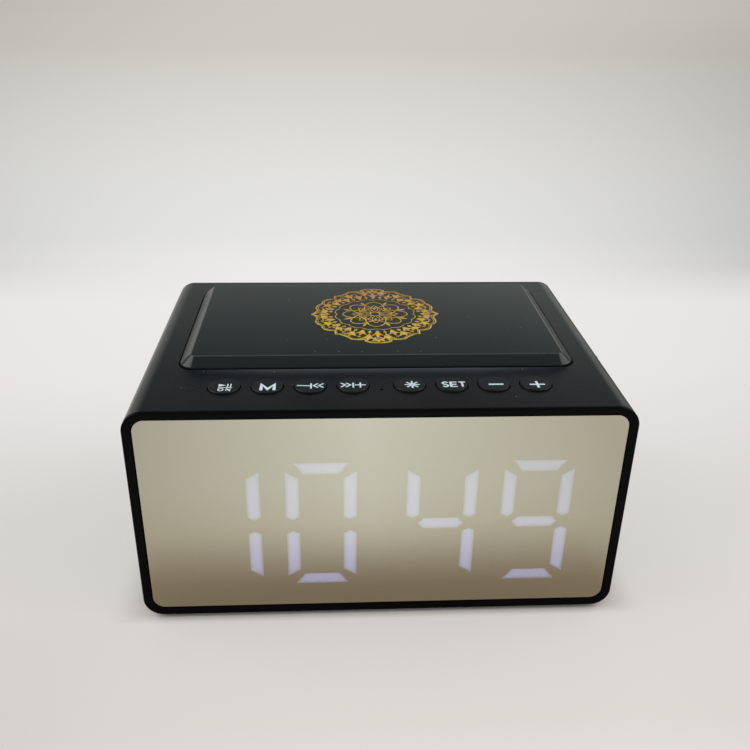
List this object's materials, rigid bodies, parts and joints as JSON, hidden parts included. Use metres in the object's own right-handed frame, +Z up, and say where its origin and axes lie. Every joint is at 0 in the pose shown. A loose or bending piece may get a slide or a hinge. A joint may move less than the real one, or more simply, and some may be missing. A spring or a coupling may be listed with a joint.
{
  "type": "prayer-time clock with mirror display and speaker",
  "caption": "Table-top prayer-time clock: low black casing, mirror display with seven-segment digits, a row of round top keys, a raised chamfered plate and rear speakers.",
  "frame": {"origin": "on the surface the clock stands on, under the middle of the casing", "axes": "+X to the right as seen from the front, +Y to the back, +Z up; the display looks towards -Y"},
  "size_m": [0.149, 0.1064, 0.0762],
  "materials": {
    "casing_black": "satin moulded ABS, fine texture",
    "plate_black": "satin moulded ABS",
    "bezel_black": "glossy black moulded frame",
    "mirror_panel": "half-mirror coated acrylic, warm grey tint",
    "matt_black": "matt black",
    "milky_diffuser": "milky translucent plastic",
    "board_green": "solder resist",
    "key_black": "satin black with pale printed marks",
    "switch_grey": "moulded grey",
    "bright_steel": "plated sheet",
    "dark_steel": "blackened",
    "ferrite": "ferrite",
    "cone_paper": "black pressed paper",
    "rubber_black": "moulded rubber",
    "cell_sleeve": "shrink sleeve"
  },
  "bodies": {
    "casing": {"aux_socket": "matt_black", "battery": "cell_sleeve", "battery_holder": "matt_black", "body_shell": "casing_black", "card_socket": "bright_steel", "colon_diffuser": "milky_diffuser", "digit_diffuser_1": "milky_diffuser", "digit_diffuser_2": "milky_diffuser", "digit_diffuser_3": "milky_diffuser", "digit_diffuser_4": "milky_diffuser", "display_board": "board_green", "display_mask": "matt_black", "foot_1": "rubber_black", "foot_2": "rubber_black", "foot_3": "rubber_black", "foot_4": "rubber_black", "front_bezel": "bezel_black", "key_board": "board_green", "key_switch_1": "switch_grey", "key_switch_2": "switch_grey", "key_switch_3": "switch_grey", "key_switch_4": "switch_grey", "key_switch_5": "switch_grey", "key_switch_6": "switch_grey", "key_switch_7": "switch_grey", "key_switch_8": "switch_grey", "main_board": "board_green", "microphone": "bright_steel", "mirror_panel": "mirror_panel", "power_board": "board_green", "power_switch": "switch_grey", "rear_cover": "casing_black", "rear_screw_1": "dark_steel", "rear_screw_2": "dark_steel", "rear_screw_3": "dark_steel", "rear_screw_4": "dark_steel", "remote_receiver": "matt_black", "speaker_left_frame": "dark_steel", "speaker_left_magnet": "ferrite", "speaker_left_surround": "rubber_black", "speaker_right_frame": "dark_steel", "speaker_right_magnet": "ferrite", "speaker_right_surround": "rubber_black", "top_plate": "plate_black", "usb_socket": "bright_steel"},
    "key_1": {"key_cap_1": "key_black"},
    "key_2": {"key_cap_2": "key_black"},
    "key_3": {"key_cap_3": "key_black"},
    "key_4": {"key_cap_4": "key_black"},
    "key_5": {"key_cap_5": "key_black"},
    "key_6": {"key_cap_6": "key_black"},
    "key_7": {"key_cap_7": "key_black"},
    "key_8": {"key_cap_8": "key_black"},
    "side_button": {"power_button": "key_black"},
    "left_cone": {"speaker_left_cone": "cone_paper"},
    "right_cone": {"speaker_right_cone": "cone_paper"}
  },
  "joints": [
    {"name": "key_1_press", "type": "slide", "parent": "casing", "child": "key_1", "axis": [0, 0, -1], "range_m": [0, 0.0005], "stiffness_N_per_m": 800},
    {"name": "key_2_press", "type": "slide", "parent": "casing", "child": "key_2", "axis": [0, 0, -1], "range_m": [0, 0.0005], "stiffness_N_per_m": 800},
    {"name": "key_3_press", "type": "slide", "parent": "casing", "child": "key_3", "axis": [0, 0, -1], "range_m": [0, 0.0005], "stiffness_N_per_m": 800},
    {"name": "key_4_press", "type": "slide", "parent": "casing", "child": "key_4", "axis": [0, 0, -1], "range_m": [0, 0.0005], "stiffness_N_per_m": 800},
    {"name": "key_5_press", "type": "slide", "parent": "casing", "child": "key_5", "axis": [0, 0, -1], "range_m": [0, 0.0005], "stiffness_N_per_m": 800},
    {"name": "key_6_press", "type": "slide", "parent": "casing", "child": "key_6", "axis": [0, 0, -1], "range_m": [0, 0.0005], "stiffness_N_per_m": 800},
    {"name": "key_7_press", "type": "slide", "parent": "casing", "child": "key_7", "axis": [0, 0, -1], "range_m": [0, 0.0005], "stiffness_N_per_m": 800},
    {"name": "key_8_press", "type": "slide", "parent": "casing", "child": "key_8", "axis": [0, 0, -1], "range_m": [0, 0.0005], "stiffness_N_per_m": 800},
    {"name": "side_button_press", "type": "slide", "parent": "casing", "child": "side_button", "axis": [-1, 0, 0], "range_m": [0, 0.0007], "stiffness_N_per_m": 800},
    {"name": "left_cone_stroke", "type": "slide", "parent": "casing", "child": "left_cone", "axis": [0, 1, 0], "range_m": [-0.0005, 0.0005], "stiffness_N_per_m": 1300},
    {"name": "right_cone_stroke", "type": "slide", "parent": "casing", "child": "right_cone", "axis": [0, 1, 0], "range_m": [-0.0005, 0.0005], "stiffness_N_per_m": 1300}
  ]
}
